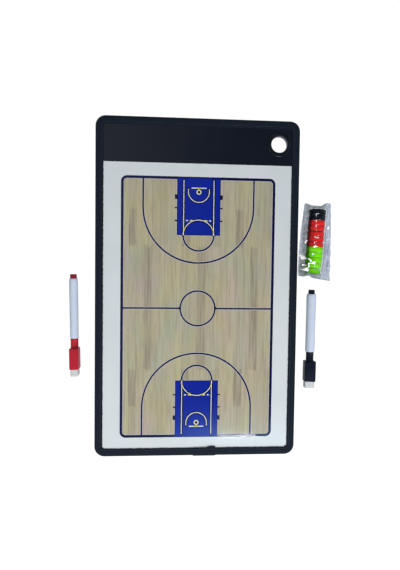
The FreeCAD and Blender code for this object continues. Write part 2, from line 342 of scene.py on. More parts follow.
def woodFinish(name, settings):
    # printed floor boards, which repeat across the court and mirror about its centre line
    w = settings
    finish, tree, shader = newFinish(name, {"IOR": 1.46})
    place = objectPlace(tree)
    split = addNode(tree, "SeparateXYZ", {0: place}).outputs
    along = stretched(tree, place, (1.0, w["streakStretch"], 1.0))
    streaks = [noiseAt(tree, along, scale, 4.0) for scale, depth in w["streaks"]]
    ragged = maths(tree, "SUBTRACT", streaks[1], 0.5)
    width = w["boardWidth"] * mm
    leftEdge = w["darkMiddle"] * mm - width / 2
    middleY = (courtSet["headY"] + courtSet["footY"]) / 2 * mm
    count = maths(tree, "DIVIDE", maths(tree, "SUBTRACT", split[0], leftEdge), width)
    unevenCount = maths(tree, "MULTIPLY_ADD", ragged, w["sideRagged"], count)
    board = maths(tree, "FLOORED_MODULO", maths(tree, "FLOOR", unevenCount), w["repeat"])
    fromMiddle = maths(tree, "ABSOLUTE", maths(tree, "SUBTRACT", split[1], middleY))
    reach = maths(tree, "MULTIPLY_ADD", ragged, w["endRagged"] * mm, fromMiddle)
    outer = maths(tree, "GREATER_THAN", reach, w["joint"] * mm)
    inner = maths(tree, "SUBTRACT", 1.0, outer)
    longDark = maths(tree, "MULTIPLY", maths(tree, "LESS_THAN", board, 0.5), inner)
    beside = maths(tree, "COMPARE", board, w["shortBoard"], 0.5)
    inShort = maths(tree, "LESS_THAN", reach, w["shortEnd"] * mm)
    shortDark = maths(tree, "MULTIPLY", maths(tree, "MULTIPLY", beside, outer), inShort)
    uneven = ramp(tree, streaks[0], *w["uneven"])
    dark = maths(tree, "MULTIPLY", maths(tree, "MAXIMUM", longDark, shortDark), uneven)
    piece = addNode(tree, "CombineXYZ", {0: board, 1: outer}).outputs[0]
    chance = addNode(tree, "TexWhiteNoise", {"Vector": piece}).outputs["Value"]
    paleTone = spread(tree, chance, 0.0, w["toneShare"])
    tone = maths(tree, "MULTIPLY_ADD", dark, w["darkShare"], paleTone)
    # drifts of pink, green and yellow stain, streaks of grain, thin joints between boards
    drifts = []
    for scale, shift in w["drifts"]:
        moved = stretched(tree, place, (1.0, 0.5, 1.0), (shift, 0, 0))
        drifts.append(ramp(tree, noiseAt(tree, moved, scale, 2.0), *w["driftRange"]))
    pale = mixColours(tree, drifts[0], w["green"], w["pink"])
    pale = mixColours(tree, maths(tree, "MULTIPLY", drifts[1], w["yellowShare"]), pale, w["yellow"])
    coloured = mixColours(tree, tone, pale, w["dark"])
    for streak, (scale, depth) in zip(streaks, w["streaks"]):
        grain = ramp(tree, streak, *w["grainRange"], 0.0, depth)
        coloured = mixColours(tree, grain, coloured, w["grain"])
    gap = maths(tree, "PINGPONG", count, 0.5)
    jointLine = maths(tree, "LESS_THAN", gap, w["jointWidth"] / w["boardWidth"])
    coloured = mixColours(tree, maths(tree, "MULTIPLY", jointLine, w["jointShade"]), coloured, w["grain"])
    feed(tree, shader, {"Base Color": coloured})
    addWipedGloss(tree, shader, glossRough)
    return finish


def tapeFinish(name, settings):
    finish, tree, shader = newFinish(name, {"Sheen Weight": 0.02, "Sheen Roughness": 0.4,
                                            "Specular IOR Level": 0.1})
    yarn = useGroup(tree, wovenYarn, {"pitch": settings["yarnPitch"] * mm})
    feed(tree, shader, {"Base Color": mixColours(tree, yarn["shade"], settings["dark"], settings["light"]),
                        "Roughness": spread(tree, yarn["height"], 0.85, 0.62)})
    addBump(tree, shader, yarn["height"], 0.00012, 0.8)
    return finish


# board: sheets, header, court print

printSet = {"layer": 0.03, "sink": 0.02}
sheetSet = {"darker": (0.60, 0.645, 0.655), "lighter": (0.67, 0.71, 0.725)}
headerSet = {"foot": 147.3, "reach": 193.0, "half": 113.0, "holeRadius": 12.4, "holeSteps": 64,
             "darker": (0.0062, 0.0088, 0.0165), "lighter": (0.0078, 0.0105, 0.0195), "rough": (0.12, 0.2)}
woodSet = {
    "boardWidth": 9.0, "repeat": 7, "darkMiddle": 4.6, "joint": 73.0, "shortBoard": 5, "shortEnd": 117.0,
    "sideRagged": 0.5, "endRagged": 16.0, "jointWidth": 0.3, "toneShare": 0.26, "darkShare": 0.62,
    "streaks": [(420.0, 0.45), (1000.0, 0.4)], "streakStretch": 0.04, "grainRange": (0.48, 0.75),
    "drifts": [(40.0, 0.0), (34.0, 0.37)], "driftRange": (0.32, 0.68), "uneven": (0.35, 0.65, 0.25, 1.0),
    "yellowShare": 0.75, "jointShade": 0.12,
    "pink": (0.49, 0.405, 0.34), "green": (0.40, 0.43, 0.315), "yellow": (0.49, 0.435, 0.24),
    "dark": (0.24, 0.215, 0.165), "grain": (0.22, 0.19, 0.135)}
courtSet = {
    "middleX": 0.5, "headY": 130.0, "footY": -175.7, "halfWidth": 89.0,
    "border": 3.1, "borderOut": 1.85, "cornerRadius": 5.0, "line": 1.85,
    "centreRadius": 20.6,
    "arcX": 65.1, "arcStart": 34.0,   # three-point line
    "keyHalf": 25.6, "keyLength": 66.6, "keyOver": {1: 0.5, -1: 1.1},   # at the head and the foot
    "laneX": 17.7, "laneStart": 2.0, "laneWidth": 0.85, "laneEdge": 1.2, "keyEdge": 0.8, "paleEdge": 0.7,
    "throwRadius": 18.1, "goldArcs": (15, 150), "goldSweep": 15, "goldMore": 0.1,
    "dashFrom": 49.3, "dashWidth": 1.3, "whiteDash": (12.4, 15.0), "yellowDash": (6.2, 10.3),
    "noChargeRadius": 12.3, "noChargeFrom": 15.5, "noChargeEnd": 12.25,
    "boardHalf": 8.8, "boardFrom": 11.2, "boardWidth": 1.2, "boardGold": 3.2, "stemHalf": 0.6,
    "hoopFrom": 15.85, "hoopRadius": 2.3, "hoopLine": 1.3, "hoopGold": (230, 80), "hoopFill": 0.9,
    "markReach": 2.6, "markLap": 0.1, "markBlock": (21.7, 5.4), "markDashes": (34.5, 49.5),
    "markWidth": 1.6, "arcSteps": 72, "joinLap": 0.3,
    "navy": (0.0060, 0.0062, 0.052), "blue": (0.0046, 0.0185, 0.30), "cream": (0.76, 0.76, 0.80),
    "straw": (0.70, 0.68, 0.42), "edge": (0.0030, 0.0036, 0.012), "yellow": (0.71, 0.63, 0.13),
    "white": (0.70, 0.70, 0.76), "pale": (0.47, 0.45, 0.45)}


def layerSpan(layer):
    # lowest and highest level of one printed layer
    return faceHeight - printSet["sink"] * mm, faceHeight + layer * printSet["layer"] * mm


def bar(bm, xLow, xHigh, yLow, yHigh, layer):
    low, high = layerSpan(layer)
    middle = Vector(((xLow + xHigh) / 2 * mm, (yLow + yHigh) / 2 * mm, (low + high) / 2))
    size = Matrix.Diagonal(((xHigh - xLow) * mm, (yHigh - yLow) * mm, high - low, 1))
    bmesh.ops.create_cube(bm, size=1.0, matrix=Matrix.Translation(middle) @ size)


def arcBand(bm, centre, radius, width, start, sweep, layer):
    # a band on an arc, by spinning its section; angles in degrees
    low, high = layerSpan(layer)
    turn = Matrix.Rotation(math.radians(start), 4, "Z")
    inside, outside = radius - width / 2, radius + width / 2
    section = [(inside, low), (outside, low), (outside, high), (inside, high)]
    middle = Vector((centre[0] * mm, centre[1] * mm, 0))
    points = [middle + turn @ Vector((reach * mm, 0, level)) for reach, level in section]
    verts, edges = wire(bm, points, closed=True)
    steps = max(3, round(courtSet["arcSteps"] * abs(sweep) / 360))
    full = abs(sweep) >= 360
    last = spin(bm, verts + edges, middle, math.radians(sweep), steps, full)
    if not full:
        bmesh.ops.holes_fill(bm, edges=edges, sides=4)
        bmesh.ops.holes_fill(bm, edges=last, sides=4)


def plate(bm, half, yLow, yHigh, radius, layer, frameWidth=0):
    # a flat printed panel with round corners, or a frame of it
    low, high = layerSpan(layer)
    middle = Vector((courtSet["middleX"] * mm, (yLow + yHigh) / 2 * mm, low))
    place = Matrix.Translation(middle) @ Matrix.Diagonal((half * 2 * mm, (yHigh - yLow) * mm, 1, 1))
    made = bmesh.ops.create_grid(bm, x_segments=1, y_segments=1, size=0.5, matrix=place)
    bmesh.ops.bevel(bm, geom=made["verts"], offset=radius * mm, offset_type="OFFSET", affect="VERTICES",
                    segments=8, profile=0.5, material=-1)
    faces = bm.faces[:]
    if frameWidth:
        bmesh.ops.inset_region(bm, faces=faces, thickness=frameWidth * mm, use_boundary=True,
                               use_even_offset=True)
        bmesh.ops.delete(bm, geom=faces, context="FACES_ONLY")
    thicken(bm, high - low)


def makeHeader():
    low, high = layerSpan(1)
    bm = bmesh.new()
    half, foot, reach = (headerSet[key] * mm for key in ("half", "foot", "reach"))
    corners = [(-half, foot, low), (half, foot, low), (half, reach, low), (-half, reach, low)]
    rim = wire(bm, corners, closed=True)[1]
    middle = boxMiddle("eyelet")
    hole = bmesh.ops.create_circle(bm, cap_ends=False, segments=headerSet["holeSteps"],
                                   radius=headerSet["holeRadius"] * mm,
                                   matrix=Matrix.Translation((middle.x, middle.y, low)))
    holeEdges = linkedEdges(hole["verts"])
    bmesh.ops.triangle_fill(bm, use_beauty=True, use_dissolve=False, edges=rim + holeEdges)
    thicken(bm, high - low)
    finish = printedFinish("headerInk", headerSet["darker"], headerSet["lighter"], headerSet["rough"])
    makePiece("headerBand", bm, finish, "board")


def band(middle, width):
    return middle - width / 2, middle + width / 2


def makeCourt():
    c = courtSet
    middleX, headY, footY = c["middleX"], c["headY"], c["footY"]
    middleY = (headY + footY) / 2
    inner = c["border"] - c["borderOut"]
    pale, rim, keyHalf, keyLength = c["paleEdge"], c["keyEdge"], c["keyHalf"], c["keyLength"]
    names = ("courtFloor", "courtBorder", "courtKeys", "courtLines", "paleEdges", "laneEdges", "laneLines",
             "goldMarks", "whiteMarks", "hoopRings", "hoopMarks")
    forms = {name: bmesh.new() for name in names}
    panels = (("courtFloor", 0, 1, 0), ("courtBorder", c["borderOut"], 3, c["border"]),
              ("paleEdges", -inner, 1.5, pale))
    for name, grow, layer, frameWidth in panels:
        half, radius = c["halfWidth"] + grow, c["cornerRadius"] + grow
        plate(forms[name], half, footY - grow, headY + grow, radius, layer, frameWidth)
    lines = (("courtLines", c["line"], 2), ("paleEdges", c["line"] + 2 * pale, 1.5))

    def arcLine(centre, radius, start, sweep):   # with a thin pale edge on both sides
        for name, width, layer in lines:
            arcBand(forms[name], centre, radius, width, start, sweep, layer)

    for side in (-1, 1):   # centre line, broken by the circle
        reach = sorted((middleX + side * c["halfWidth"], middleX + side * c["centreRadius"]))
        for name, width, layer in lines:
            bar(forms[name], *reach, *band(middleY, width), layer)
    arcLine((middleX, middleY), c["centreRadius"], 0, 360)
    for end, baseY in ((1, headY), (-1, footY)):
        def spanY(near, far):
            return sorted((baseY - end * near, baseY - end * far))

        def across(name, xNear, xFar, near, far, layer):   # on both sides of the middle
            for side in (-1, 1):
                xs = sorted((middleX + side * xNear, middleX + side * xFar))
                bar(forms[name], *xs, *spanY(near, far), layer)

        def centred(name, half, near, far, layer):
            bar(forms[name], middleX - half, middleX + half, *spanY(near, far), layer)

        downTurn = 180 if end > 0 else 0   # arcs open towards the base line
        past = c["arcStart"] + c["joinLap"]
        across("courtLines", *band(c["arcX"], c["line"]), 0, past, 2.1)
        across("paleEdges", *band(c["arcX"], c["line"] + 2 * pale), 0, past, 1.6)
        arcLine((middleX, baseY - end * c["arcStart"]), c["arcX"], downTurn, 180)
        centred("courtKeys", keyHalf, 0, keyLength, 2)
        centred("paleEdges", keyHalf + pale, 0, keyLength + pale, 1.5)
        centred("courtKeys", keyHalf, -c["keyOver"][end], inner, 3.3)   # the ink runs on over the border
        across("laneEdges", keyHalf - rim, keyHalf, 0, keyLength, 2.5)
        across("laneEdges", 0, keyHalf - rim, keyLength - rim, keyLength, 2.6)
        throw = (middleX, baseY - end * keyLength)
        arcLine(throw, c["throwRadius"], downTurn, 180)
        charge = (middleX, baseY - end * c["noChargeFrom"])
        for name, more, layer in (("laneLines", 0, 4), ("laneEdges", c["laneEdge"], 3.5)):
            width = c["laneWidth"] + 2 * more
            arcBand(forms[name], throw, c["throwRadius"], width, downTurn + 180, 180, layer + 0.2)
            across(name, *band(c["laneX"], width), c["laneStart"] - more, keyLength, layer)
            arcBand(forms[name], charge, c["noChargeRadius"], width, downTurn, 180, layer)
            across(name, *band(c["noChargeRadius"], width), c["noChargeEnd"] - more,
                   c["noChargeFrom"] + c["joinLap"], layer + 0.1)
        # gold where the circle runs along the lane lines and the dashes
        for start in c["goldArcs"]:
            arcBand(forms["goldMarks"], throw, c["throwRadius"], c["laneWidth"] + c["goldMore"],
                    downTurn + 180 + start, c["goldSweep"], 5)
        dash = band(c["dashFrom"], c["dashWidth"])
        across("goldMarks", *c["yellowDash"], *dash, 5)
        across("whiteMarks", *c["whiteDash"], *dash, 5)
        # board and hoop
        backboard = band(c["boardFrom"], c["boardWidth"])
        across("whiteMarks", c["boardGold"], c["boardHalf"], *backboard, 5)
        centred("goldMarks", c["boardGold"], *backboard, 5)
        hoop = (middleX, baseY - end * c["hoopFrom"])
        ring = (hoop, c["hoopRadius"], c["hoopLine"])
        arcBand(forms["hoopRings"], *ring, 0, 360, 5)
        goldStart, goldSweep = c["hoopGold"]
        arcBand(forms["goldMarks"], *ring, downTurn + goldStart, goldSweep, 5.5)
        centred("goldMarks", c["stemHalf"], c["boardFrom"], c["hoopFrom"] - c["hoopRadius"], 5)
        arcBand(forms["hoopMarks"], hoop, c["hoopFill"], 2 * c["hoopFill"], 0, 360, 4)
        # marks for players along the key
        for middle, long in [c["markBlock"]] + [(dash, c["markWidth"]) for dash in c["markDashes"]]:
            across("courtLines", keyHalf - c["markLap"], keyHalf + c["markReach"], *band(middle, long), 2.5)

    def ink(name, darkest=0.94):
        return printedFinish(name + "Ink", [part * darkest for part in c[name]], c[name])

    navy, cream = ink("navy", 0.9), ink("cream")
    inks = (woodFinish("printedFloor", woodSet), navy, ink("blue", 0.9), navy, ink("pale"), ink("edge"),
            cream, ink("yellow"), ink("white"), ink("straw"), navy)
    for name, finish in zip(names, inks):
        makePiece(name, forms[name], finish, "board")


makeHeader()
makeCourt()
print("court printed")


# edge binding: woven tape folded round the board, its lap and its seam

bindingSet = {
    "halfWidth": 120.0, "halfLength": 200.0, "cornerRadius": 12.0, "cornerSteps": 18, "step": 1.25,
    "thick": 5.4, "startX": -3.0, "cutEdge": 8.9, "waveDepth": 0.42, "waveScale": 0.40, "cornerFill": 0.7,
    "fineWave": 0.6, "fineScale": 2.3, "yarnPitch": 0.75,
    "dark": (0.0032, 0.0066, 0.0125), "light": (0.0152, 0.0252, 0.0420),
    # inset from the edge and height: over the top, round the fold, under the back, and back inside
    "section": [(9.5, 4.5), (9.5, 5.14), (9.28, 5.36), (8.6, 5.43), (7.95, 5.37), (7.3, 5.22), (6.65, 5.37),
                (5.2, 5.45), (3.2, 5.43), (1.6, 5.28), (0.62, 4.92), (0.14, 4.3), (0.0, 3.5), (0.0, 2.0),
                (0.14, 1.1), (0.62, 0.48), (1.6, 0.12), (3.2, 0.0), (6.65, 0.0), (7.3, 0.16), (7.95, 0.0),
                (9.28, 0.04), (9.5, 0.26), (9.5, 0.9), (0.9, 0.9), (0.9, 4.5)]}
lapSet = {"from": -3.0, "to": 23.6, "step": 0.95, "rise": 0.55, "overhang": 0.15, "foldInset": 1.0,
          "inside": [(0.5, 0.3), (0.5, 5.0)], "endInset": 8.5, "endAlong": (12.0, 18.0), "endFill": 1.5,
          "endWave": 0.25, "waveScale": 0.4, "frayFrom": 21.5, "fray": 0.35, "frayScale": 0.5}
stitchSet = {"inset": 7.3, "length": 3.1, "pitch": 3.75, "width": 0.62, "thick": 0.34, "top": 5.36,
             "foot": 0.04, "slant": 0.06, "lapSpare": 0.1, "paler": 1.5}


def boardSides():
    # way, length and far corner's centre of each straight side in mm, from the foot round
    b = bindingSet
    x, y = b["halfWidth"] - b["cornerRadius"], b["halfLength"] - b["cornerRadius"]
    sides = (((1, 0, 0), x, (x, -y, 0)), ((0, 1, 0), y, (x, y, 0)),
             ((-1, 0, 0), x, (-x, y, 0)), ((0, -1, 0), y, (-x, -y, 0)))
    return [(Vector(way), 2 * half, Vector(corner)) for way, half, corner in sides]


def edgeMeasure(x, y):
    # how far in from the board's edge, the way in, how far along the edge and how far round a corner
    b = bindingSet
    halfWidth, halfLength, radius = (b[key] * mm for key in ("halfWidth", "halfLength", "cornerRadius"))
    straightX, straightY = halfWidth - radius, halfLength - radius
    overX, overY = abs(x) - straightX, abs(y) - straightY
    sideX, sideY = math.copysign(1, x), math.copysign(1, y)
    quarter = radius * math.pi / 2
    turn = 0.0
    if overX > 0 and overY > 0:
        away = math.hypot(overX, overY)
        inset, inward = radius - away, Vector((-sideX * overX / away, -sideY * overY / away, 0))
        turn = math.atan2(overY, overX) / (math.pi / 2)
        part = straightY + turn * quarter
    elif halfWidth - abs(x) < halfLength - abs(y):
        inset, inward, part = halfWidth - abs(x), Vector((-sideX, 0, 0)), abs(y)
    else:
        inset, inward = halfLength - abs(y), Vector((0, -sideY, 0))
        part = straightY + quarter + straightX - abs(x)
    half = 2 * (straightX + straightY + quarter)
    if sideX > 0:
        along = part if sideY > 0 else 2 * half - part
    else:
        along = half - part if sideY > 0 else half + part
    return inset, inward, along, turn, half


def footSection(x, section):
    # a section across the foot's side at x, from insets and heights in mm
    return [(x * mm, (inset - bindingSet["halfLength"]) * mm, height * mm) for inset, height in section]


def pushOut(bm, edges, way, length, step):
    # draw a section straight on in even steps, and give back its last edges
    made = bmesh.ops.extrude_edge_only(bm, edges=edges)["geom"]
    verts = only(made, bmesh.types.BMVert)
    bmesh.ops.translate(bm, verts=verts, vec=way * length)
    fresh = set(verts)
    last = [edge for edge in only(made, bmesh.types.BMEdge) if set(edge.verts) <= fresh]
    sides = [edge for vert in verts for edge in vert.link_edges if edge.other_vert(vert) not in fresh]
    bmesh.ops.subdivide_edges(bm, edges=sides, cuts=max(1, round(length / step)) - 1, use_grid_fill=True)
    return last


def layClothMap(piece):
    # UV in metres: along the edge, and across the tape from its inner edge over the fold
    mesh = piece.data
    layer = mesh.uv_layers.new(name="cloth")
    middle = bindingSet["thick"] / 2 * mm
    for face in mesh.polygons:
        base = edgeMeasure(face.center.x, face.center.y)[2]
        for loop in face.loop_indices:
            place = mesh.vertices[mesh.loops[loop].vertex_index].co
            inset, _, along, _, half = edgeMeasure(place.x, place.y)
            if along - base > half:
                along -= 2 * half
            elif base - along > half:
                along += 2 * half
            layer.data[loop].uv = (along, (inset if place.z > middle else -inset) + place.z)


def makeBinding(tape):
    b = bindingSet
    step = b["step"] * mm
    bm = bmesh.new()
    edges = wire(bm, footSection(b["startX"], b["section"]), closed=True)[1]
    sides = boardSides()
    for index, (way, length, corner) in enumerate(sides):
        if index == 0:   # the tape starts in the foot's side, and ends there
            length = corner.x - b["startX"]
        edges = pushOut(bm, edges, way, length * mm, step)
        verts = list(dict.fromkeys(vert for edge in edges for vert in edge.verts))
        edges = spin(bm, verts + edges, corner * mm, math.pi / 2, b["cornerSteps"])
    pushOut(bm, edges, sides[0][0], (sides[0][2].x + b["startX"]) * mm, step)
    weld(bm, joinGap)
    for vert in bm.verts:   # the cut edge of the tape wanders, and bunches at the corners
        inset, inward, _, turn, _ = edgeMeasure(vert.co.x, vert.co.y)
        if inset > b["cutEdge"] * mm:
            spot = vert.co / mm * b["waveScale"]
            fine = spot * b["fineScale"]
            wave = noise.noise((spot.x, spot.y, 0.0)) + b["fineWave"] * noise.noise((fine.x, fine.y, 4.0))
            reach = b["waveDepth"] * wave + b["cornerFill"] * math.sin(math.pi * turn) ** 2
            vert.co += inward * (reach * mm)
    layClothMap(makePiece("edgeTape", bm, tape, "board", ["edge_binding"]))


def makeLap(tape):
    # the end of the tape folded over its start at the foot of the board
    b, p = bindingSet, lapSet
    bm = bmesh.new()
    middle = b["thick"] / 2
    points = []
    for inset, height in b["section"][:-2]:
        lift = p["rise"] if height > middle and inset < b["section"][0][0] else 0.0
        if inset > b["cutEdge"]:
            inset += p["overhang"]
        elif inset <= p["foldInset"]:
            inset -= p["rise"]
        points.append((inset, height + lift))
    points = footSection(p["from"], points + p["inside"])
    points[0] = (*points[0][:2], faceHeight)
    first = wire(bm, points, closed=True)[1]
    last = pushOut(bm, first, Vector((1, 0, 0)), (p["to"] - p["from"]) * mm, p["step"] * mm)
    bmesh.ops.edgeloop_fill(bm, edges=first)
    bmesh.ops.edgeloop_fill(bm, edges=last)
    for vert in bm.verts:
        inset, along, height = vert.co.y / mm + b["halfLength"], vert.co.x / mm, vert.co.z / mm
        if inset > p["endInset"] and height > middle:   # the folded end stands a little further in
            wave = noise.noise((along * p["waveScale"], inset * p["waveScale"], 9.0))
            vert.co.y += (p["endFill"] * smooth(*p["endAlong"], along) + p["endWave"] * wave) * mm
        edgeShare = max(0.0, (along - p["frayFrom"]) / (p["to"] - p["frayFrom"]))
        vert.co.x += p["fray"] * edgeShare * noise.noise((inset * p["frayScale"], height, 2.0)) * mm
    layClothMap(makePiece("tapeLap", bm, tape, "board"))


def threadFinish():
    def plies(tree):
        twist = addNode(tree, "Mapping", {"Vector": objectPlace(tree), "Rotation": (0, 0, 0.7)})
        values = {"Vector": twist.outputs[0], "Scale": 900.0, "Distortion": 1.5}
        return addNode(tree, "TexWave", values).outputs[1]

    light = [part * stitchSet["paler"] for part in bindingSet["light"]]
    sheen = {"Sheen Weight": 0.08, "Specular IOR Level": 0.25}
    return tonedFinish("seamThread", sheen, plies, (bindingSet["dark"], light), (0.8, 0.5), (0.0001, 0.7))


def seamSpot(left, radius, sides):
    # place and heading of the seam at a length from its start, in mm
    for way, length, corner in sides:
        inward = Vector((-way.y, way.x, 0))
        if left <= length:
            return corner + way * (left - length) - inward * radius, way
        left -= length
        angle = left / radius
        if angle <= math.pi / 2:
            sine, cosine = math.sin(angle), math.cos(angle)
            return corner + way * (radius * sine) - inward * (radius * cosine), way * cosine + inward * sine
        left -= radius * math.pi / 2


def makeStitches():
    s = stitchSet
    finish = threadFinish()
    radius = bindingSet["cornerRadius"] - s["inset"]
    sides = boardSides()
    whole = sum(side[1] for side in sides) + 2 * math.pi * radius
    count = round(whole / s["pitch"])
    lapFrom, lapTo = lapSet["from"] - s["lapSpare"], lapSet["to"] + s["lapSpare"]
    seed = bmesh.new()
    size = Matrix.Diagonal((s["length"] / 2 * mm, s["width"] / 2 * mm, s["thick"] / 2 * mm, 1))
    bmesh.ops.create_uvsphere(seed, u_segments=8, v_segments=6, radius=1.0, matrix=size)
    for name, level, node, rise in (("needleStitches", s["top"], "needle_thread", lapSet["rise"]),
                                    ("bobbinStitches", s["foot"] + s["thick"] / 2, "bobbin_thread", 0.0)):
        bm = bmesh.new()
        for index in range(count):
            spot, heading = seamSpot(index * whole / count, radius, sides)
            onLap = lapFrom < spot.x < lapTo and spot.y < 0
            spot.z = level + (rise if onLap else 0.0)
            turn = Matrix.Rotation(math.atan2(heading.y, heading.x) + s["slant"], 4, "Z")
            stitch = bpy.data.meshes.new("stitch")
            seed.to_mesh(stitch)
            stitch.transform(Matrix.Translation(spot * mm) @ turn)
            bm.from_mesh(stitch)
            bpy.data.meshes.remove(stitch)
        makePiece(name, bm, finish, "board", [node])
    seed.free()


bindingTape = tapeFinish("bindingTape", bindingSet)
makeBinding(bindingTape)
makeLap(bindingTape)
makeStitches()
print("edge bound")


# eyelet: enamelled ring, domed on the face and rolled over its washer at the back

eyeletSet = {
    "steps": 96, "rough": (0.22, 0.30),
    "darker": (0.0042, 0.0060, 0.0105), "lighter": (0.0070, 0.0095, 0.0155),
    "enamel": {"IOR": 1.3, "Specular IOR Level": 0.34, "Specular Tint": (0.72, 0.88, 1.0, 1)},
    # inside: a paler colour painted on the wall of the hole as its reflection
    "inside": (0.050, 0.048, 0.074), "wallReflectionReach": (0.0104, 0.0096),
    "section": [(9.4, 0.15), (9.4, 5.9), (10.9, 5.9), (12.1, 5.78), (13.2, 5.5), (14.05, 5.1),
                (14.45, 4.75), (14.5, 4.5), (9.9, 4.5), (9.9, 0.55), (11.5, 0.55), (11.5, 0.15)],
    "rounding": [(1, 1.2), (0, 0.35), (11, 0.18), (10, 0.18)]}


def makeEyelet():
    e = eyeletSet
    middle = boxMiddle("eyelet")
    bm = turnedForm(e["section"], e["steps"], e["rounding"], closed=True)
    bmesh.ops.translate(bm, verts=bm.verts[:], vec=(middle.x, middle.y, 0))
    enamel = mouldedFinish("blackEnamel", e["darker"], e["lighter"], e["rough"], constants=e["enamel"])
    # painted reflection: the wall inside the hole is made paler, standing in for the bright floor it
    # mirrors
    tree = enamel.node_tree
    shader = tree.nodes["Principled BSDF"]
    flat = stretched(tree, objectPlace(tree), (1, 1, 0), (-middle.x, -middle.y, 0))
    wallReflection = ramp(tree, vectorMaths(tree, "LENGTH", {0: flat})["Value"], *e["wallReflectionReach"])
    colour = shader.inputs["Base Color"].links[0].from_socket
    feed(tree, shader, {"Base Color": mixColours(tree, wallReflection, colour, e["inside"])})
    makePiece("eyeletRing", bm, enamel, "board", ["eyelet"], 50.0)
    setFinish("eyelet_washer", enamel)


makeEyelet()
print("eyelet set")


# markers: barrel, tail plug, nib and its holder, cap and felt

markerSet = {
    "steps": 64, "smallSteps": 32, "plugRadius": 3.8, "plugLength": 5.0, "plugSpigot": 13.0, "bore": 3.6,
    "barrelFront": 74.5, "shoulder": 5.0, "shoulderDrop": 0.8, "frontBore": 3.0, "frontWall": 6.0,
    "capMouth": 74.8, "capShoulder": 85.8, "capEnd": 110.6, "capWidth": 13.4, "capDepth": 10.6,
    "capEdge": 1.2, "lipRise": 0.18, "socketRadius": 3.45, "socketEnd": 93.5,
    "eraserEnd": 118.9, "eraserWidth": 12.0, "eraserDepth": 8.8, "eraserEdge": 1.6,
    "fuzz": 0.07, "fuzzScale": 900.0,
    "sealRadius": 3.4, "sealEnd": 81.5, "coneEnd": 87.5, "coneRadius": 2.0,
    "nibRadius": 1.5, "nibTail": 60.5, "nibTip": 90.5,
    "white": ((0.53, 0.595, 0.725), (0.60, 0.665, 0.80)), "whiteRough": (0.40, 0.52), "whiteShine": 0.35,
    "plasticRough": (0.34, 0.46), "plasticShine": 0.09,
    "felt": ((0.46, 0.475, 0.485), (0.70, 0.715, 0.72), 1100.0),   # with the scale of its fibres
    "fibre": ((0.55, 0.55, 0.54), (0.80, 0.80, 0.78), 1600.0)}
redSet = {"tail": 5.1, "front": 4.85, "swell": 0.05, "neck": 4.4, "narrowUp": True,
          "plastic": ((0.40, 0.014, 0.028), (0.48, 0.023, 0.040)),
          "plug": ((0.235, 0.013, 0.026), (0.280, 0.021, 0.036)),
          "ink": ((0.30, 0.01, 0.015), (0.50, 0.02, 0.03), 1800.0)}
blackSet = {"tail": 5.85, "front": 5.65, "swell": -0.15, "neck": 4.5, "narrowUp": False,
            "plastic": ((0.0040, 0.0068, 0.0150), (0.0064, 0.0104, 0.0210)),
            "plug": ((0.0040, 0.0062, 0.0135), (0.0064, 0.0096, 0.0190)),
            "ink": ((0.01, 0.01, 0.012), (0.02, 0.02, 0.024), 1800.0)}


def markerPlace(colour, narrowUp):
    along = jointAxis(colour + "_cap_pull")
    across, upward = Vector((-along.y, along.x, 0)), Vector((0, 0, 1))
    axes = (upward, -across, along) if narrowUp else (across, upward, along)
    return axesMatrix(axes, boxMiddle(colour + "_tail_plug") - along * (markerSet["plugSpigot"] / 2 * mm))


def capForm(neck):
    m = markerSet
    bm = bmesh.new()
    mouth, shoulder, end = m["capMouth"], m["capShoulder"], m["capEnd"]
    size = (m["capWidth"], m["capDepth"], end - shoulder)
    roundedBlock(bm, size, (0, 0, (shoulder + end) / 2), m["capEdge"], 5)
    bm.faces.ensure_lookup_table()
    rear = min(bm.faces, key=lambda face: (round(face.calc_center_median().z, 6), -face.calc_area()))
    rim = rear.edges[:]
    bmesh.ops.delete(bm, geom=[rear], context="FACES_ONLY")
    bmesh.ops.subdivide_edges(bm, edges=rim, cuts=7)
    # neck, flared at the block, with a lip at its mouth, and the socket inside
    lip, socket = neck + m["lipRise"], m["socketRadius"]
    points = [(neck + 0.25, shoulder), (neck, shoulder - 0.4), (neck, mouth + 1.6), (lip, mouth + 1.3),
              (lip, mouth + 0.25), (neck - 0.1, mouth), (socket + 0.15, mouth), (socket, mouth + 0.2),
              (socket, m["socketEnd"]), (0, m["socketEnd"])]
    verts, edges = wire(bm, [(radius * mm, 0, height * mm) for radius, height in points])
    spin(bm, verts + edges, (0, 0, 0), 2 * math.pi, m["smallSteps"], merge=True)
    weld(bm)
    bmesh.ops.bridge_loops(bm, edges=[edge for edge in bm.edges if edge.is_boundary])
    return bm


def eraserForm():
    m = markerSet
    bm = bmesh.new()
    size = (m["eraserWidth"], m["eraserDepth"], m["eraserEnd"] - m["capEnd"])
    base = (m["capEnd"] + 0.1) * mm
    roundedBlock(bm, size, (0, 0, (m["eraserEnd"] + m["capEnd"]) / 2), m["eraserEdge"], 5,
                 lambda edge: all(vert.co.z < base for vert in edge.verts))
    longEdges = [edge for edge in bm.edges if edge.calc_length() > 2.0 * mm]
    bmesh.ops.subdivide_edges(bm, edges=longEdges, cuts=6, use_grid_fill=True)
    for vert in bm.verts:
        if vert.co.z > base:
            vert.co += noise.noise_vector(vert.co * m["fuzzScale"]) * (m["fuzz"] * mm)
    return bm


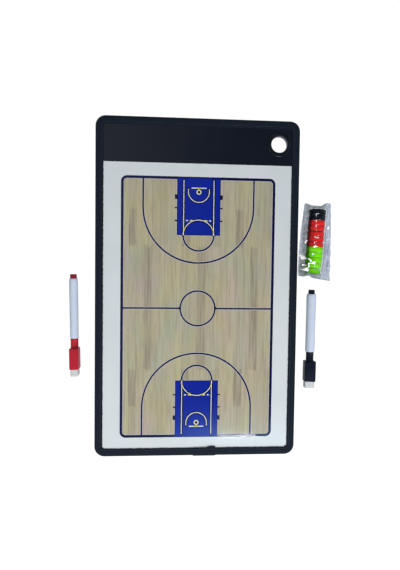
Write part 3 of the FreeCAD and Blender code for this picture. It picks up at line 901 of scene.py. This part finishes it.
def makeMarker(colour, settings):
    m = markerSet
    place = markerPlace(colour, settings["narrowUp"])
    tail, plugLength, plugRadius = settings["tail"], m["plugLength"], m["plugRadius"]
    bore, frontBore, nibRadius, front = m["bore"], m["frontBore"], m["nibRadius"], m["barrelFront"]
    wallBack = front - m["frontWall"]
    shoulderEnd = plugLength + m["shoulder"]
    barrel = [(bore, plugLength)]
    for angle in (math.pi / 2 * index / 7 for index in range(7)):
        barrel.append((tail - m["shoulderDrop"] * (1 - math.sin(angle)),
                       shoulderEnd - m["shoulder"] * math.cos(angle)))
    for share in (index / 12 for index in range(13)):
        radius = tail + (settings["front"] - tail) * share + settings["swell"] * 4 * share * (1 - share)
        barrel.append((radius, shoulderEnd + (front - shoulderEnd) * share))
    frontEdge = len(barrel) - 1
    barrel += [(frontBore, front), (frontBore, wallBack), (bore, wallBack)]
    plug = [(0, 0), (plugRadius, 0), (plugRadius, plugLength), (bore, plugLength), (bore, m["plugSpigot"]),
            (0, m["plugSpigot"])]
    holder = [(nibRadius, wallBack), (frontBore, wallBack), (frontBore, front), (m["sealRadius"], front),
              (m["sealRadius"], m["sealEnd"]), (frontBore, m["sealEnd"]), (m["coneRadius"], m["coneEnd"]),
              (nibRadius, m["coneEnd"])]
    nib = [(0, m["nibTail"]), (nibRadius, m["nibTail"]), (nibRadius, m["nibTip"]), (0, m["nibTip"])]

    def plasticFinish(label, tones, rough=m["plasticRough"], shine=m["plasticShine"]):
        return mouldedFinish(colour + label, *tones, rough, constants={"Specular IOR Level": shine})

    white = plasticFinish("BarrelWhite", m["white"], m["whiteRough"], m["whiteShine"])
    marker, cap, plastic = colour + "_marker", colour + "_marker_cap", colour + "_plastic"
    parts = [
        ("Barrel", "barrel", turnedForm(barrel, m["steps"], [(1, 0.3), (frontEdge, 0.35)], closed=True),
         white, marker, "white_barrel"),
        ("TailPlug", "tail_plug", turnedForm(plug, m["steps"], [(1, 0.8), (2, 0.1)]),
         plasticFinish("PlugPlastic", settings["plug"]), marker, plastic),
        ("NibHolder", "nib_holder", turnedForm(holder, m["steps"], [(4, 0.3), (6, 0.2)], closed=True),
         white, marker, "white_barrel"),
        ("Nib", "nib", turnedForm(nib, m["smallSteps"], [(2, 1.2)]),
         feltFinish(colour + "NibFibre", *settings["ink"]), marker, colour + "_nib_fibre"),
        ("Cap", "cap", capForm(settings["neck"]), plasticFinish("Plastic", settings["plastic"]),
         cap, plastic),
        ("Eraser", "eraser", eraserForm(), feltFinish(colour + "Felt", *m["felt"]), cap, "eraser_felt")]
    for name, node, bm, finish, body, slot in parts:
        bmesh.ops.transform(bm, matrix=place, verts=bm.verts[:])
        makePiece(colour + name, bm, finish, body, [colour + "_" + node], 40.0)
    setFinish(colour + "_ink_reservoir", feltFinish(colour + "InkFibre", *m["fibre"]))


makeMarker("red", redSet)
makeMarker("black", blackSet)
print("markers laid")


# magnets and their pouch

magnetSet = {
    "count": 12, "radius": 9.75, "height": 6.2, "edge": 0.75, "pocketRadius": 7.9, "pocketDepth": 4.0,
    "pocketEdge": 0.15, "apart": 0.05,
    "gaps": (0.15, 0.15, 0.2, 0.2, 0.85, 0.3, 0.75, 0.15, 0.25, 0.25, 0.6, 0.75),   # at the head of each
    "turns": (0, 0, 0, 0, -0.6, -0.4, 0, 0, 0, 0, -2.5, -4.5),
    "steps": 72, "jitter": 0.16, "headLean": 3.0, "footDrift": 1.0, "driftFrom": 15.0, "driftOver": 22.5,
    "rough": (0.16, 0.26), "shine": 0.11,
    "black": ((0.0020, 0.0052, 0.0120), (0.0034, 0.0080, 0.0170)),
    "red": ((0.70, 0.013, 0.014), (0.80, 0.022, 0.020)),
    "green": ((0.19, 0.80, 0.001), (0.25, 0.90, 0.003)),
    "ferrite": ((0.035, 0.035, 0.038), (0.06, 0.06, 0.062), (0.6, 0.85), 0.00006)}
pouchSet = {
    # sides from head to foot, near the board and away from it, then how far they bulge
    "near": (13.7, 14.7), "nearBulge": 1.6, "far": (18.5, 25.0), "farBulge": 0.8,
    "head": 41.2, "ears": (4.6, 6.8), "foot": -43.2, "footSlant": 0.085,
    "notch": 2.2, "notchX": -3.2, "notchWidth": 3.5,
    "cells": (120, 260), "endCells": 0.11,
    "clearRadius": 10.6, "axisHeight": 10.25, "leaveX": 9.6, "loosen": 2.2, "drape": 2.4,
    "stackEnds": (40.5, 40.1), "slackEnds": (36.8, 38.0),
    "edgeHeight": 0.9, "edgeWave": 0.7, "sealHeight": 4.6, "film": 0.12,
    "ridgeWave": 0.62, "ridgePitch": 6.25, "stackDent": 0.3, "wingDent": 2.1, "underDent": 0.4,
    "crush": 3.0, "crushAt": (-7.0, -28.0), "crushReach": (7.5, 9.5),
    "puff": 4.5, "puffX": -10.5, "puffWidth": 4.0,
    # deep: the colour of the painted shade beside the stack
    "clear": (0.97, 0.97, 0.975), "grey": (0.61, 0.65, 0.735), "deep": (0.295, 0.33, 0.33),
    # the crease colour is a white painted on the creases as glints
    "mirror": (0.50, 0.58), "glintCrease": (0.95, 0.96, 0.97)}
glintCreaseSet = {   # creases painted white as glints, their normal turned so they mirror the foot lamp: which way they face, then each one's start, end and reach in mm
    "facing": (-0.115, -0.47, 0.875),
    "strokes": [
        # along the top of the stack
        ((-4.5, 32), (-4, 29), 0.2), ((-4, 24), (-3.5, 22.5), 0.4), ((-3.5, 18.5), (-3.5, 16), 0.45),
        ((-4, 5), (-1.5, 3.5), 0.45), ((-1.5, 3.5), (0.5, 4.5), 0.45), ((-3.5, -1), (-3.5, -3), 0.35),
        ((-3.5, -7), (-2, -6), 0.7), ((-5, -14.5), (-5, -16), 0.5), ((-3.5, -14.5), (-3.5, -15.5), 0.5),
        # crumpled corner near the board
        ((-14, -17), (-12, -18), 1.5), ((-12.5, -18.5), (-12.5, -21), 1.4), ((-12, -18.5), (-11, -21), 1.1),
        ((-9.5, -21), (-6, -23.5), 0.8), ((-5, -26), (-2.5, -24.5), 0.9), ((-2.5, -24.5), (-2.5, -27), 0.8),
        ((-9.5, -26.5), (-4.5, -26), 0.5), ((-9.5, -27), (-9, -31.5), 0.6),
        ((-12, -28.5), (-11.5, -29), 1.1), ((-11.5, -34), (-9.5, -34.5), 1.5),
        ((-11, -33), (-10.5, -32), 1.0),
        # slack sides
        ((16.5, 17), (18, 19.5), 1.2), ((16, 5), (16, 3.5), 0.8), ((21, -29.5), (21.5, -30), 0.7),
        ((-11, -2), (-10.5, 1), 0.7), ((-12.5, 31), (-11.5, 30), 0.4)]}
filmTraits = ("slack", "shade", "fold", "glintCrease")   # kept on the film's points for its finish


def stackDrift(along):
    # how far the last magnets lie out of line, in mm
    m = magnetSet
    return -m["footDrift"] * max(0.0, (-along - m["driftFrom"]) / m["driftOver"]) ** 2


def stackPlace():
    along = jointAxis("magnet_stack_shift")
    middle = (boxMiddle("magnet_01_disc") + boxMiddle("magnet_12_disc")) / 2
    # the discs lie towards the foot of their cups
    middle += along * ((magnetSet["height"] - magnetSet["pocketDepth"]) / 2 * mm)
    across = Vector((along.y, -along.x, 0))
    return axesMatrix((across, along, Vector((0, 0, 1))), (middle.x, middle.y, 0)), middle.z


def makeMagnets():
    s = magnetSet
    place, axisHeight = stackPlace()
    finishes = {}
    for name in ("black", "red", "green"):
        finishes[name] = mouldedFinish(name + "Cup", *s[name], s["rough"],
                                       constants={"Specular IOR Level": s["shine"]})
    ferrite = mouldedFinish("ferrite", *s["ferrite"])
    pitch = s["height"] + s["apart"]
    length = s["count"] * pitch - s["apart"]
    lie = Matrix.Rotation(-math.pi / 2, 4, "X")
    for number in range(1, s["count"] + 1):
        top = s["height"] - s["gaps"][number - 1]
        section = [(0, s["pocketDepth"]), (s["pocketRadius"], s["pocketDepth"]), (s["pocketRadius"], 0),
                   (s["radius"], 0), (s["radius"], top), (0, top)]
        bm = turnedForm(section, s["steps"], [(3, s["edge"]), (4, s["edge"]), (2, s["pocketEdge"])])
        shift = noise.noise_vector((number * 1.7, 0.3, 0.0)) * (s["jitter"] * 2 * mm)
        along = length / 2 - number * pitch + s["apart"]
        base = Vector((shift.x + stackDrift(along) * mm, along * mm, axisHeight + abs(shift.z) * 0.5))
        lean = Matrix.Rotation(math.radians(-s["headLean"] * max(0, 3 - number) / 2), 4, "X")
        turn = Matrix.Rotation(math.radians(s["turns"][number - 1]), 4, "Z")
        whole = place @ Matrix.Translation(base) @ turn @ lean @ lie
        bmesh.ops.transform(bm, matrix=whole, verts=bm.verts[:])
        colour = "black" if number <= 2 else "red" if number <= 7 else "green"
        node = "magnet_%02d_" % number
        makePiece("magnet%02dCup" % number, bm, finishes[colour], "magnet_stack",
                  [node + "cup"])
        setFinish(node + "disc", ferrite)


def facets(x, y, seed):
    # flat-sided dents of crumpled film, from 0 to about 1, and the sharp folds between them
    broad = noise.voronoi((x * 0.19, y * 0.13, seed))[0]
    fine = noise.voronoi((x * 0.38, y * 0.31, seed + 5.0))[0]
    return broad[0] + 0.45 * fine[0], 1 - smooth(0.0, 0.16, broad[1] - broad[0])


def glintAt(x, along):
    # how strongly the film is creased at a point, which sets its painted glint
    spot = Vector((x, along))
    ragged = 0.4 * noise.noise((x * 0.9, along * 0.9, 40.0))
    strongest = 0.0
    for start, end, reach in glintCreaseSet["strokes"]:
        start, way = Vector(start), Vector(end) - Vector(start)
        if (start - spot).length > way.length + 2:
            continue
        part = clamped((spot - start).dot(way) / way.length_squared)
        away = (start + way * part - spot).length + ragged * reach
        strongest = max(strongest, smooth(reach, reach * 0.5, away))
    return strongest


def filmPoint(across, share, upper):
    # one point of the film in mm, in the pouch's own frame, then its traits
    p = pouchSet
    side, bulge = (p["far"], p["farBulge"]) if across > 0 else (p["near"], p["nearBulge"])
    half = side[1] + (side[0] - side[1]) * share + bulge * math.sin(math.pi * share)
    x = across * half
    head = p["head"] + p["ears"][0] * smooth(0.0, -13.0, x) + p["ears"][1] * smooth(1.0, 13.0, x)
    notch = math.exp(-((x - p["notchX"]) / p["notchWidth"]) ** 2)
    foot = p["foot"] - p["footSlant"] * x + p["notch"] * notch
    along = foot + (head - foot) * share
    rim = abs(across) ** 6
    x += rim * p["edgeWave"] * noise.noise((along * 0.13, across, 3.0))
    edgeHeight = p["edgeHeight"] + p["edgeWave"] * noise.noise((along * 0.09, across * 2.0, 8.0))
    if along > 0:
        ending = smooth(p["stackEnds"][0], head - 0.2, along)
    else:
        ending = smooth(p["stackEnds"][1], -foot - 0.2, -along)
    seal = p["sealHeight"] * (1 - across * across) + 1.2 * rim + edgeHeight
    # round the stack, then hanging down to lie on the table
    fromAxis = abs(x - stackDrift(along))
    radius, leaveX = p["clearRadius"], p["leaveX"]
    part = clamped((fromAxis - leaveX) / (half - leaveX))
    section = p["axisHeight"] + math.sqrt(radius * radius - min(fromAxis, leaveX) ** 2)
    if fromAxis >= leaveX:
        section = edgeHeight + (section - edgeHeight) * (1 - part) ** p["drape"]
    loose = leaveX - p["loosen"]
    slack = 1.0
    if upper:
        slack = max(smooth(loose, leaveX - 0.2, fromAxis), smooth(*p["slackEnds"], abs(along)))
    offX = (x - p["crushAt"][0]) / p["crushReach"][0]
    offY = (along - p["crushAt"][1]) / p["crushReach"][1]
    crushed = math.exp(-offX * offX - offY * offY)
    dent, fold = facets(x, along, 2.0 if upper else 15.0)
    # painted shade and reflection: darker in the lengthwise folds, where it hangs beside the stack, on the
    # side near the board and in the crushed corner, standing in for the stack's shadow and its reflection
    # in the film
    shade = 0.6 * slack * (1 - part) ** 3 + 0.9 * max(0.0, noise.noise((x * 0.42, along * 0.06, 21.0)))
    nearSide = smooth(-9.0, -10.5, x) * smooth(-15.5, -12.5, x)
    shade = min(1.0, shade + 0.5 * crushed + 0.4 * nearSide)
    glintCrease = 0.0
    if upper:
        # painted glints: how strongly this point is coloured white as a glint
        glintCrease = glintAt(x, along)
        depth = p["stackDent"] + (p["wingDent"] - p["stackDent"]) * slack + p["crush"] * crushed
        ridges = math.sin(2 * math.pi * along / p["ridgePitch"])
        wave = noise.noise((along * 0.21, 0.0, 30.0)) * 0.9 + ridges
        z = section + p["ridgeWave"] * wave * (1 - slack) + dent * depth * (1 - rim)
        sidePuff = math.exp(-((x - p["puffX"]) / p["puffWidth"]) ** 2) * math.exp(-offY * offY)
        z += p["puff"] * sidePuff * (1 - rim)
        z += (seal - z) * ending
    else:
        z = p["film"] + (edgeHeight - p["film"]) * rim + (seal - p["film"]) * ending ** 2
        z += p["underDent"] * dent * smooth(loose, leaveX, fromAxis) * (1 - rim) * (1 - ending)
    return Vector((x, along, z)), slack, shade, fold, glintCrease


def makePouch():
    p = pouchSet
    bm = bmesh.new()
    layers = [bm.verts.layers.float.new(name) for name in filmTraits]
    for upper in (True, False):
        made = bmesh.ops.create_grid(bm, x_segments=p["cells"][0], y_segments=p["cells"][1], size=0.5)
        for vert in made["verts"]:
            across, share = vert.co.x * 2, vert.co.y + 0.5
            border = abs(across) > 0.999 or share < 0.001 or share > 0.999
            share -= p["endCells"] * math.sin(2 * math.pi * share)   # more cells where the film turns down
            spot, *values = filmPoint(across, share, upper or border)
            vert.co = spot * mm
            for layer, value in zip(layers, values):
                vert[layer] = value
    weld(bm, joinGap)
    bmesh.ops.transform(bm, matrix=stackPlace()[0], verts=bm.verts[:])
    return makePiece("magnetFilm", bm, filmFinish(), "magnet_bag", ["magnet_pouch"], 180.0)


def filmFinish():
    # thin film: tinted see-through, with a mirror gloss that grows at a glance
    p = pouchSet
    finish, tree, shader = newFinish("clearFilm", {"IOR": 1.8})
    place = objectPlace(tree)
    haze = noiseAt(tree, place, 120.0, 3.0)
    slack, shade, fold, glintCrease = (addNode(tree, "Attribute", attribute_name=name).outputs["Fac"]
                                  for name in filmTraits)
    # the film is clear over the stack and grey where it hangs slack: partly the tint of its layers, partly
    # painted shade under it; the shade trait darkens it towards the deep colour, and the folds and a haze
    # make it paler
    paler = maths(tree, "ADD", maths(tree, "MULTIPLY", fold, 0.3), spread(tree, haze, 0.0, 0.2))
    loose = mixColours(tree, paler, mixColours(tree, shade, p["grey"], p["deep"]), p["clear"])
    tint = mixColours(tree, slack, p["clear"], loose)
    clear = addNode(tree, "BsdfTransparent", {"Color": tint})
    mirror = mixColours(tree, haze, *((level, level, level) for level in p["mirror"]))
    # painted highlight: along the creases the film turns an opaque white, standing in for glints
    feed(tree, shader, {
        "Base Color": mixColours(tree, glintCrease, mirror, p["glintCrease"]),
        "Metallic": maths(tree, "MULTIPLY_ADD", glintCrease, -1.0, 1.0),
        "Roughness": maths(tree, "MULTIPLY_ADD", glintCrease, 0.15, spread(tree, haze, 0.03, 0.09))})
    glance = addNode(tree, "LayerWeight", {"Blend": 0.3}).outputs["Fresnel"]
    cover = maths(tree, "MULTIPLY_ADD", fold, 0.02, spread(tree, glance, 0.006, 0.24))
    cover = maths(tree, "MAXIMUM", cover, maths(tree, "MULTIPLY", glintCrease, 0.97))
    mixed = addNode(tree, "MixShader", {0: cover, 1: clear.outputs[0], 2: shader.outputs[0]})
    feed(tree, tree.nodes["Material Output"], {"Surface": mixed.outputs[0]})
    bumped = addBump(tree, shader, noiseAt(tree, place, 260.0, 2.0), 0.0006, 0.5)
    # along the creases the normal turns to the facing way, so the foot lamp's reflection adds to the
    # painted glint
    facing = addNode(tree, "VectorTransform", {"Vector": glintCreaseSet["facing"]},
                     vector_type="NORMAL", convert_from="OBJECT", convert_to="WORLD")
    values = {0: glintCrease, 4: bumped, 5: facing.outputs[0]}
    turned = addNode(tree, "Mix", values, data_type="VECTOR").outputs[1]
    feed(tree, shader, {"Normal": vectorMaths(tree, "NORMALIZE", {0: turned})[0]})
    return finish


makeMagnets()
filmPouch = makePouch()
print("magnets packed")


# inner and rear sheets keep their solids

coreSet = {"tones": ((0.46, 0.46, 0.44), (0.56, 0.56, 0.54)), "rough": (0.6, 0.8), "grain": 0.0001}
steelSet = {"tone": (0.55, 0.56, 0.57), "rough": (0.3, 0.45)}
for sheetNode, coat in (("front_sheet", "sheetCoat"), ("back_sheet", "backCoat")):
    setFinish(sheetNode, printedFinish(coat, sheetSet["darker"], sheetSet["lighter"]))
setFinish("core_board", mouldedFinish("foamCore", *coreSet["tones"], coreSet["rough"], coreSet["grain"]))
setFinish("steel_sheet", metalFinish("rolledSteel", steelSet["tone"], steelSet["rough"]))


# floor, light and camera

stageSet = {"floorHalf": 12.0, "floorColour": (0.18, 0.18, 0.18), "mottle": 1.01,
            "glow": (0.96, 1.0), "glowReach": (0.35, 1.3)}
skySet = {"horizon": 0.34, "overhead": (0.35, 0.8), "left": 0.38, "right": 0.03, "leftX": -0.13,
          "rightX": 0.12, "tint": (0.94, 0.98, 1.0), "glowRise": (-0.272, -0.366),
          "glowFall": (-0.386, -0.368), "glowSide": (-0.04, 0.10), "glowPower": 2.5, "glow": 2.6,
          "glowTint": (0.60, 0.98, 1.35), "tintShare": 4.0}
lampSet = [   # name, place, spot it shines at, size, watts
    ("keyLamp", (-0.95, -0.20, 1.20), (0, 0, 0), (0.5, 0.8), 2.4),
    ("fillLamp", (1.35, 0.45, 1.05), (0, 0, 0), (1.1, 1.2), 3.3),
    ("headLamp", (0.05, 1.15, 1.20), (0, 0, 0), (0.7, 0.4), 1.4),
    ("footLamp", (0.34, -1.28, 1.10), (0, 0, 0), (0.8, 0.5), 26.6),
    ("glareLamp", (0.28, -0.765, 1.5), (0.28, 0, 0), (0.18, 0.004), 0.105)]
cameraSet = {"place": (-0.02853, 0.02391, 0.51279), "right": (0.99802, 0.01271, 0.06161),
             "down": (0.01039, -0.99923, 0.03782), "ahead": (0.06204, -0.03711, -0.99738),
             "focalPixels": 430.0, "longPixels": 570, "sensor": 36.0}


def makeFloor():
    bm = bmesh.new()
    bmesh.ops.create_grid(bm, x_segments=4, y_segments=4, size=stageSet["floorHalf"])
    mesh = bpy.data.meshes.new("floor")
    bm.to_mesh(mesh)
    bm.free()
    floor = addObject("floor", mesh)
    finish, tree, shader = newFinish("floorPaper", {"Roughness": 0.9, "Specular IOR Level": 0.0,
                                                    "Emission Color": (1, 1, 1, 1)})
    place = objectPlace(tree)
    tone = stageSet["floorColour"]
    paler = [part * stageSet["mottle"] for part in tone]
    mottled = mixColours(tree, noiseAt(tree, place, 3.0, 2.0), tone, paler)
    path = addNode(tree, "LightPath").outputs
    seen = maths(tree, "MAXIMUM", path["Is Camera Ray"], path["Is Glossy Ray"])
    seen = maths(tree, "MAXIMUM", seen, path["Is Transmission Ray"])
    away = vectorMaths(tree, "LENGTH", {0: place})["Value"]
    # the paper stays white far from the board
    level = ramp(tree, away, *stageSet["glowReach"], *stageSet["glow"])
    feed(tree, shader, {"Base Color": mottled, "Emission Strength": maths(tree, "MULTIPLY", seen, level)})
    mesh.materials.append(finish)


def makeLight():
    s = skySet
    world = bpy.data.worlds.new("studio")
    bpy.context.scene.world = world
    world.use_nodes = True
    tree = world.node_tree
    way = addNode(tree, "TexCoord").outputs["Generated"]
    split = addNode(tree, "SeparateXYZ", {0: way}).outputs
    overhead = ramp(tree, split[0], s["leftX"], s["rightX"], s["left"], s["right"])
    level = ramp(tree, split[2], *s["overhead"], s["horizon"], overhead)
    # a soft glow high over the foot of the board, which its gloss mirrors
    rise, fall, side = (ramp(tree, split[axis], *s[key])
                        for axis, key in ((1, "glowRise"), (1, "glowFall"), (0, "glowSide")))
    inside = maths(tree, "MULTIPLY", fall, side)
    glow = maths(tree, "MULTIPLY", maths(tree, "POWER", rise, s["glowPower"]), inside)
    level = maths(tree, "MULTIPLY_ADD", glow, s["glow"], level)
    tint = mixColours(tree, maths(tree, "MULTIPLY", glow, s["tintShare"]), s["tint"], s["glowTint"])
    seen = addNode(tree, "LightPath").outputs["Is Camera Ray"]
    missing = maths(tree, "SUBTRACT", 1.0, level)   # seen directly, the sky is as white as the floor
    feed(tree, tree.nodes["Background"], {"Color": mixColours(tree, seen, tint, (1, 1, 1)),
                                          "Strength": maths(tree, "MULTIPLY_ADD", seen, missing, level)})
    for name, place, aim, size, watts in lampSet:
        lamp = bpy.data.lights.new(name, "AREA")
        lamp.shape = "RECTANGLE"
        lamp.size, lamp.size_y = size
        lamp.energy = watts
        holder = addObject(name, lamp)
        holder.location = place
        holder.rotation_euler = (Vector(aim) - Vector(place)).to_track_quat("-Z", "Y").to_euler()


def makeCamera():
    c = cameraSet
    camera = bpy.data.cameras.new("camera")
    camera.sensor_width = c["sensor"]
    camera.sensor_fit = "AUTO"
    camera.lens = c["focalPixels"] * c["sensor"] / c["longPixels"]
    camera.clip_start = 0.01
    holder = addObject("camera", camera)
    axes = (Vector(c["right"]), -Vector(c["down"]), -Vector(c["ahead"]))
    holder.matrix_world = axesMatrix(axes, c["place"])
    bpy.context.scene.camera = holder


makeFloor()
makeLight()
makeCamera()
bpy.context.scene.view_settings.view_transform = "Standard"
print("stage set")
